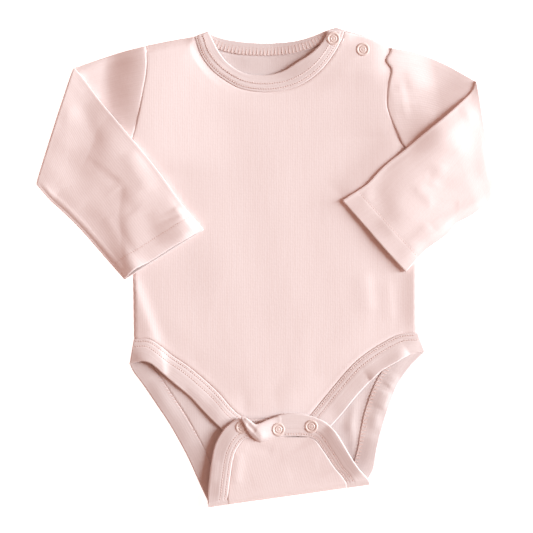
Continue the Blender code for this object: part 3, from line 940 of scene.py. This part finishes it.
twist = {
    # lower edge x, y and upper edge x, y of the turned-over part of the flap's end
    "rows": (
        (-17.6, -109.9, -17.1, -108.7), (-16.6, -112.2, -15.2, -108.7), (-15.2, -115, -13.2, -109.8),
        (-13.4, -118.8, -10.6, -111.8), (-9.9, -123.2, -7.6, -114), (-5.3, -127.4, -4.6, -113.6),
        (-0.7, -130, -0.7, -111.8), (3.8, -130.4, 3.9, -110.1), (7.6, -127.4, 7.4, -108.8),
        (11.3, -124.8, 10.6, -107.4), (15, -123.6, 14.4, -106.4),
    ),
    "thick": 1.5,
    "lift": 2.1,  # how high it stands on the band at its right end
    "dip": 0.8,  # and how deep it lies in the band at its left one
    "creases": (
        (-16.6, -110.6, -2, -127.6, 4.5, 1.6, 0.9), (-13.6, -113.6, -7, -120, 1.6, 1.6, -0.8),
        (-7, -116, -1, -124, 4, 2.2, 0.4), (-15, -109.4, -8.6, -113.6, 1.2, 1.2, 0.5),
    ),
}
twistRows = evenRows(smoothRows(twist["rows"], 10), 90)
flat, _, twistWidth = bindingGrid(twistRows[:, :2], twistRows[:, 2:], sewn=False)
share = (1 - np.cos(np.linspace(0, np.pi, bindingShape["across"]))) / 2
fromEdges = np.minimum(share, 1 - share) * twistWidth[:, None]
edgeRound = quarterRound(fromEdges, np.minimum(1.2, twistWidth / 3)[:, None])
x = flat[..., 0]
standing = easeIn((9 - x) / 13)
twistTop = highHeight.softened(0, 2).at(flat) + 0.06 - twist["dip"] * easeIn((x - 10) / 5)
twistTop = twistTop + standing * twist["lift"] + creases(twist["creases"], flat) * standing
twistTop = twistTop - (1 - edgeRound) * twist["thick"] * 0.5
twistLow = twistTop - twist["thick"] * (0.15 + 0.85 * edgeRound)
twistSurface, twistUnder = withHeight(flat, twistTop), withHeight(flat, twistLow)
wallMesh(
    "crotchTwist", twistSurface, twistUnder, gridUv(flat), knitBinding,
    bulge=bindingShape["bulge"],
)
place = np.array([[x, y, 0.0] for x in np.arange(15.0, 27.5, 1.9) for y in (-119.6, -112.4)])
place[:, 2] = highHeight.softened(0, 2).at(place) - 0.42
ways = np.repeat([[0.06, 1.0, 0.0]], len(place), axis=0)
threadMesh("flapEndRungs", place, ways, (6.4, 0.9, 0.5))
print("back bindings laid")

sleeves = {
    "right": {
        "armhole": "armholeRight",
        "away": -1,
        # top edge x, y, underarm edge x, y
        "upper": (
            (-87, 159.1, -102.6, 72.5), (-104, 154.9, -121, 68), (-120.7, 149.6, -141, 63),
            (-138.2, 143.4, -165.4, 58.6),
        ),
        "lower": (
            (-138.2, 143.4, -165.4, 58.6), (-130.4, 134, -160.8, 53), (-119.6, 119.4, -154.6, 46.2),
            (-98, 93.8, -146, 38.4), (-78, 69.3, -133.2, 25.6), (-60, 44.4, -117.2, 7.2),
            (-44.6, 26.4, -102.3, -9.8),
        ),
        "edgeDepth": (2.1, 1.9),
        "cuffDepth": 1,
        "foldGap": 0.4,
        "levelReach": 2,
        "levelBlur": 90,
        "puff": 1.1,
        # share across, reach, opening, how far the upper and the lower layer stop short
        "gape": ((0.84, 0.12, 2.6, 1.6, 0), (0.45, 0.45, 0.8, 1.4, 0)),
        "lip": 1.2,
        "headRise": 0.12,
        "headReach": 32,
        "flange": 0.7,
        "rim": 0.1,
        # ridges that both layers and the fold between them share
        "lifts": (),
        "cuffSink": 0,  # how far the top layer follows the lower one at the cuff
        "upperCreases": (
            (-114, 154, -110, 98, 16, 9, -1.6), (-141, 143, -139, 132, 10, 6, 1.7),
        ),
        "creases": (
            (-134, 119, -121, 86, 6, 6.5, -0.6), (-142, 116, -142, 80, 7, 6, 0.3),
            (-127.5, 76.3, -105.5, 59.5, 1.6, 5, -0.35), (-99, 84, -86, 52, 8, 7, 0.8),
            (-108, 56, -95, 38, 6, 7, -0.7), (-60, 46, -49, 24, 8, 13, 2.2), (-66, 36, -58, 16, 9, 12, 1.4),
            (-88, 40, -78, 14, 7, 8, -0.6), (-116, 36, -97, 4, 3.5, 5, 0.5), (-104, 32, -90, 8, 4, 4, 0.3),
            (-128, 60, -118, 34, 6, 8, 0.3), (-150, 62, -132, 42, 7, 5, 0.3),
        ),
    },
    "left": {
        "armhole": "armholeLeft",
        "away": 1,
        "upper": (
            (90.8, 157.8, 112, 78), (110, 154, 128, 70), (130, 146, 145, 62), (152, 133.4, 165, 54.6),
        ),
        "lower": (
            (152, 133.4, 165, 54.6), (149.2, 126.6, 163.2, 49.2), (142.4, 119.6, 158.6, 44),
            (128.7, 107.4, 152.8, 39.2), (115, 96.4, 147.2, 35.4), (101.4, 84.8, 138, 30.6),
            (88.6, 74.8, 132.2, 23.6), (82, 68.6, 126.2, 18.8), (73.6, 59.6, 117, 12.4), (65, 53.6, 109.4, 5),
            (55.6, 47.6, 101.6, -4.2),
        ),
        "edgeDepth": (1.7, 1.6),
        "cuffDepth": 0.9,
        "foldGap": 0.1,
        "levelReach": 14,
        "levelBlur": 170,
        "puff": 0.9,
        "gape": ((0.66, 0.3, 0.8, -0.4, 1.8), (0.3, 0.25, 0, 0, 1.2)),
        "lip": 0,
        "headRise": 0.05,
        "headReach": 30,
        "flange": 0,
        "rim": 0.2,
        "lifts": ((176, 141, 128, 101, 22, 22, 6.2),),
        "cuffSink": 0.6,
        "upperCreases": (
            (97, 133, 101.5, 106, 2.2, 3, 0.5), (93, 128, 96, 104, 2, 3, 0.35),
            (104, 143, 108, 126, 9, 4.5, 0.4), (90, 150, 90, 118, 9, 2, 0.4),
        ),
        "creases": (
            (103, 84, 98, 18, 34, 18, 1.3), (81, 66, 86, 30, 8, 8, -0.4), (72, 58, 74, 46, 5, 5, 0.4),
            (157, 90, 158, 62, 7, 6, 0.5), (102, 12, 119, 30, 4.5, 8, 0.4), (119, 30, 161, 48, 4.5, 8, 0.45),
            (128, 74, 121, 56, 4, 6, 0.4), (116, 66, 128, 62, 4, 4, -0.3), (108, 58, 122, 44, 5, 4, 0.4),
            (118, 46, 140, 44, 4, 5, -0.4), (140, 118, 150, 104, 5, 4, 0.5), (84, 34, 94, 22, 3, 4, 0.2),
        ),
    },
}
tube = {
    "ring": 136,
    "upperRows": 50,
    "lowerRows": 128,
    "rollRows": 16,
    "hem": 13.2,
    "hemStep": 0.12,
    "squash": 0.4,  # how far the fold swings out, against a round one
    "cornerRound": 5.0,
    "edgeRound": 0.3,
    "ripple": (0.35, 30),
    "innerShare": 0.85,  # of the creases, on the inner face
    # how far from the fold or the cuff each of these fades out
    "foldReach": 40,
    "lyingReach": 28,
    "cuffReach": 30,
    "gapeReach": 34,
    "shortReach": 26,
    "edgeFade": 7,
    "seamFade": 16,
}


def sleeveRing(count):
    # Round a flattened tube once: a share across it, cosine-spaced, and -1 on the layer that
    # lies lowest at the armhole, 1 on the other and 0 at the two edges.
    angle = np.arange(count) * 2 * np.pi / count
    side = np.where(np.abs(np.sin(angle)) < 1e-9, 0, np.sign(np.sin(angle)))
    return 0.5 - 0.5 * np.cos(angle), side


def sleeveGrid(spec, inset, under, underTop):
    # A flattened tube from the armhole to the fold, turned over there and laid back on what
    # is under it. The inset is how far the face lies inside the outer one.
    ringShare, side = sleeveRing(tube["ring"])
    upper = evenRows(smoothRows(spec["upper"], 30), tube["upperRows"], 4)
    lower = evenRows(smoothRows(spec["lower"], 30), tube["lowerRows"], 4)
    foldTurns = np.linspace(0, np.pi, tube["rollRows"] + 2)[1:-1]
    rows = np.vstack([upper, np.repeat(lower[:1], len(foldTurns), axis=0), lower])
    turns = np.concatenate([np.zeros(len(upper)), foldTurns, np.full(len(lower), np.pi)])
    firstLower = len(upper) + len(foldTurns)
    isUpper, isLower = (turns == 0)[:, None], (turns > np.pi - 1e-6)[:, None]
    start, stop = rows[:, None, 0:2], rows[:, None, 2:4]
    width = np.linalg.norm(stop - start, axis=-1)
    share = inset / width + ringShare * (1 - 2 * inset / width)
    # 0 on the lower layer and 1 on the upper one, with a quarter round at each edge
    fromEdge = np.minimum(ringShare, 1 - ringShare) * width
    layer = 0.5 + 0.5 * side * quarterRound(fromEdge, tube["edgeRound"])
    flat = start + (stop - start) * share[..., None]
    middle = (rows[:, 0:2] + rows[:, 2:4]) / 2
    along = lengthAlong(middle)
    fromFold = np.abs(along - along[firstLower])[:, None]
    fromCuff = (along[-1] - along)[:, None]
    # the armhole's curve, fading out along the sleeve
    armhole = evenRows(smoothRows(outline[spec["armhole"]], 12), 200)
    steps = np.linspace(0, 1, len(armhole))
    ends = armhole[0] + (armhole[-1] - armhole[0]) * steps[:, None]
    bend = rowsAt(armhole - ends, steps, share[0])
    fade = np.exp(-((along / 11.0) ** 1.5)) * isUpper[:, 0]
    flat = flat + fade[:, None, None] * bend
    flat[0, :, 0] += spec["away"] * cloth["seam"]
    # both layers' depth, more in the middle, at the loose fold and at the gaping cuff
    nearFold = 1 - easeIn(fromFold / tube["foldReach"])
    nearCuff = 1 - easeIn(fromCuff / tube["cuffReach"])
    foldDepth, armDepth = spec["edgeDepth"]
    plainDepth = armDepth + (foldDepth - armDepth) * nearFold + spec["puff"] * np.sin(np.pi * share) ** 0.7
    plainDepth = plainDepth * (1 + (spec["cuffDepth"] - 1) * nearCuff * isLower)
    outside = 1 - layer
    depth, pulled = plainDepth, 0.0 * share
    for place, reach, opening, upperShort, lowerShort in spec["gape"]:
        bulge = bell(share - place, reach) * isLower
        depth = depth + opening * bulge * easeIn(1 - fromCuff / tube["gapeReach"])
        short = upperShort * outside + lowerShort * layer
        pulled = pulled + short * bulge * easeIn(1 - fromCuff / tube["shortReach"])
    axisHeight = plainDepth + spec["foldGap"]
    # past the fold the sleeve lies over the body and over its own upper half; its top layer
    # stays nearly level where the lower one sinks towards the table
    folded, near = axisHeight + spec["foldGap"], 1 - easeIn(fromFold / tube["lyingReach"])
    lowest, highest = (field.at(flat) + gap for field in (under, underTop))
    lowest = lowest + (folded - lowest) * near
    highest = np.maximum(highest + (folded - highest) * near, lowest)
    highest = highest + (lowest - highest) * nearCuff * spec["cuffSink"]
    depth = np.where(isLower, highest + depth - lowest, plainDepth)
    within = inset / depth + layer * (1 - 2 * inset / depth)
    height = depth * within
    foldLine = rows[firstLower, 2:4] - rows[firstLower, 0:2]
    foldSide = np.array([foldLine[1], -foldLine[0]]) / np.linalg.norm(foldLine) * -spec["away"]
    turning = np.broadcast_to(turns[:, None], height.shape)
    rounded = np.minimum(share, 1 - share) * width / tube["cornerRound"]
    squash = tube["squash"] * np.sqrt(1 - (1 - rounded.clip(0.02, 1)) ** 2)
    grid = rolled(flat, height, turning, axisHeight, foldSide, squash)
    grid[..., 2] = np.where(isLower, lowest + depth - height, grid[..., 2])
    way = unit(np.gradient(middle, axis=0))
    grid[..., :2] -= pulled[..., None] * way[:, None]
    # creases on the layer that shows, and none at the long edges or in the fold
    showing = easeIn(np.where(isLower, outside, layer) * 1.6 - 0.5)
    fade = tube["edgeFade"]
    edgeFade = easeIn(np.minimum(share, 1 - share) * width / fade) * easeIn(fromFold / fade)
    made = np.where(isLower, creases(spec["creases"], grid), creases(spec["upperCreases"], grid))
    made = (made + ripples(grid, tube["ripple"], 5)) * edgeFade * (isUpper | isLower)
    # the rim at the top edge, the flange along the underarm seam, the hem and its stitches
    fromTop, fromUnder = share * width, (1 - share) * width
    far = easeIn(fromFold / tube["seamFade"]) * isLower
    rim = spec["rim"] * bell(fromTop - 1.2, 1.3) * far
    rim = rim - spec["rim"] * bell(fromTop - 6.5, 4.0) * far
    flange = spec["flange"] * (easeIn((2.8 - fromUnder) / 1.4) + 0.25 * bell(fromUnder - 2.2, 0.7)) * far
    flange = flange - 0.25 * bool(spec["flange"]) * bell(fromUnder - 4.6, 1.1) * far
    hem = tube["hemStep"] * easeIn((tube["hem"] - fromCuff) / 1.4)
    hem = hem - 0.06 * bell(fromCuff - tube["hem"], 0.8)
    # at the armhole the top layer is level with the front
    beside = frontOnly.at(flat - [2.5 * spec["away"], 0]) + spec["headRise"] - plainDepth
    head = beside[:1] * (1 - easeIn(along / spec["headReach"]))[:, None] * isUpper
    head = head - 0.14 * bell(along, 0.8)[:, None] * isUpper
    made = made + rim - flange + hem * isLower + head
    grid[..., 2] += showing * made * (tube["innerShare"] if inset else 1.0)
    grid[..., 2] += spec["lip"] * bell(fromCuff, 1.6) * layer * isLower
    lengthwise = np.broadcast_to(along[:, None], share.shape)
    lengthwise = lengthwise + np.where(turns[:, None] > 0, np.minimum(turns, np.pi)[:, None] * 4.0, 0)
    uv = np.stack([ringShare[None] * width + 190 * (layer > 0.5), lengthwise], axis=-1)
    return grid, uv, (firstLower, ringShare, fromCuff[:, 0], outside)


armHeight, frontOnly = Heights(midHeight), Heights().add(frontUpper)
for key, spec in sleeves.items():
    grid, _, (firstLower, *_) = sleeveGrid(spec, 0.0, Heights(), Heights())
    armHeight.add(grid[: firstLower - tube["rollRows"]])
forearmUnder = armHeight.softened(2, 16)
for key, spec in sleeves.items():
    forearmLevel = armHeight.softened(spec["levelReach"], spec["levelBlur"])
    outer, uv, facts = sleeveGrid(spec, 0.0, forearmUnder, forearmLevel)
    inner, _, _ = sleeveGrid(spec, wall, forearmUnder, forearmLevel)
    for grid in (outer, inner):
        grid[..., 2] += creases(spec["lifts"], grid, 0.0)
    nodes = ["sleeve_" + key]
    wallMesh(key + "Sleeve", outer, inner, uv, knitFront, nodes, ring=True, inside=knitWrongShaded)
    firstLower, ringShare, fromCuff, outside = facts
    row = np.argmin(np.abs(fromCuff - tube["hem"]))
    side = np.flatnonzero(outside[row] > 0.9)
    line = outer[row, side[np.argsort(ringShare[side])]]
    length = lengthAlong(line)
    at = np.arange(3.0, length[-1] - 3, stitch["spacing"])
    place = rowsAt(line, length, at) - [0, 0, stitch["cuffSunk"]]
    threadMesh(key + "CuffStitches", place, np.gradient(place, axis=0), stitch["size"])
print("sleeves folded")

snapShape = {
    # radius, height over the cloth
    "profile": (
        (0.0, 0.62), (0.8, 0.62), (1.15, 0.5), (1.45, 0.5), (1.8, 0.64), (2.1, 0.6), (2.4, 0.42), (2.7, 0.3),
        (3.0, 0.34), (3.3, 0.55), (3.7, 0.72), (4.1, 0.72), (4.5, 0.58), (4.8, 0.3), (4.9, 0.05), (4.6, -0.3),
        (0.0, -0.3),
    ),
    "round": 56,
    "radius": 4.8,  # of the cloth that it is tilted with
    "sunk": 0.15,
    "hole": 0.02,  # the smallest radius, so that no face at the middle is a point
}
snapPlaces = {
    "snap_shoulder_neck": (49.0, 164.2, neckFrontTop),
    "snap_shoulder_arm": (70.3, 156.5, frontUpper),
    "snap_crotch_right": (-17.0, -116.5, bindUnder[isFlap]),
    "snap_crotch_middle": (9.3, -118.0, twistSurface),
    "snap_crotch_left": (33.0, -115.9, bindUnder[isFlap]),
}


def snapCap(name, x, y, surface):
    # The profile turned about the vertical through its place, tilted with the cloth.
    table = smoothRows(snapShape["profile"], 3)
    table[:, 0] = table[:, 0].clip(snapShape["hole"], None)
    angle = np.arange(snapShape["round"]) * 2 * np.pi / snapShape["round"]
    near = surface.reshape(-1, 3)
    near = near[np.hypot(near[:, 0] - x, near[:, 1] - y) < snapShape["radius"]]
    fit = np.linalg.lstsq(np.c_[near[:, :2] - [x, y], np.ones(len(near))], near[:, 2], rcond=None)[0]
    dx, dy = table[:, :1] * np.cos(angle), table[:, :1] * np.sin(angle)
    z = fit[2] - snapShape["sunk"] + fit[0] * dx + fit[1] * dy + table[:, 1:]
    points = np.stack([x + dx, y + dy, z], axis=-1)
    index = np.arange(points[..., 0].size).reshape(points.shape[:2])
    closed = np.hstack([index, index[:, :1]])
    faces = quads(closed)[:, ::-1].tolist() + [index[0].tolist(), index[-1][::-1].tolist()]
    uv = points[..., :2].reshape(-1, 2)
    showPiece(name + "Cap", points.reshape(-1, 3), faces, uv, snapPink, [name])


for name, (x, y, surface) in snapPlaces.items():
    snapCap(name, x, y, surface)
print("snaps pressed on")

# Floor, light and camera.
studio = {
    "floorSize": 4000.0,
    "below": 0.3,  # the floor, under the cloth
    "distance": 2000.0,
    "viewWidth": 386.4,
    "middle": (0.7, -0.4),
    "floorColour": (0.93, 0.92, 0.92, 1.0),
    "floorGlow": 0.8,
    "skyColour": (1.0, 0.55, 0.425, 1.0),
    "skyStrength": 0.45,
    # the light's bearing and height in degrees, distance and size in metres, power, colour
    "keyLight": (7, 25, 5.0, (1.0, 4.4), 512, (0.79, 0.945, 1.0)),
}
floorSide = studio["floorSize"] * mm / 2
floorMesh = bpy.data.meshes.new("floor")
signs = ((-1, -1), (1, -1), (1, 1), (-1, 1))
floorCorners = [(floorSide * i, floorSide * j, -studio["below"] * mm) for i, j in signs]
floorMesh.from_pydata(floorCorners, [], [(0, 1, 2, 3)])
floorMaterial, tree, floorShader = newMaterial("floorWhite")
tree.feed(floorShader, {
    "Base Color": studio["floorColour"],
    "Roughness": 0.9,
    "Emission Color": (1.0, 1.0, 1.0, 1.0),
    "Emission Strength": studio["floorGlow"],
})
floorMesh.materials.append(floorMaterial)
floor = bpy.data.objects.new("floor", floorMesh)
bpy.context.scene.collection.objects.link(floor)


def addLight(name, azimuth, elevation, distance, size, power, colour):
    # A rectangle at the bearing and height given, facing the middle.
    light = bpy.data.lights.new(name, "AREA")
    light.shape = "RECTANGLE"
    light.size, light.size_y = size
    light.energy, light.color = power, colour
    lamp = bpy.data.objects.new(name, light)
    a, e = np.radians(azimuth), np.radians(elevation)
    lamp.location = (distance * np.cos(e) * np.cos(a), distance * np.cos(e) * np.sin(a), distance * np.sin(e))
    lamp.rotation_euler = (np.pi / 2 - e, 0, a + np.pi / 2)
    bpy.context.scene.collection.objects.link(lamp)


addLight("keyLight", *studio["keyLight"])
world = bpy.data.worlds.new("studio")
world.use_nodes = True
sky = {"Color": studio["skyColour"], "Strength": studio["skyStrength"]}
Shade(world.node_tree).feed(world.node_tree.nodes["Background"], sky)
bpy.context.scene.world = world
bpy.context.scene.view_settings.view_transform = "Standard"

cameraData = bpy.data.cameras.new("camera")
cameraData.sensor_width = 36.0
cameraData.lens = cameraData.sensor_width * studio["distance"] / studio["viewWidth"]
cameraData.clip_end = 20.0
camera = bpy.data.objects.new("camera", cameraData)
camera.location = (studio["middle"][0] * mm, studio["middle"][1] * mm, studio["distance"] * mm)
bpy.context.scene.collection.objects.link(camera)
bpy.context.scene.camera = camera
print("studio set")
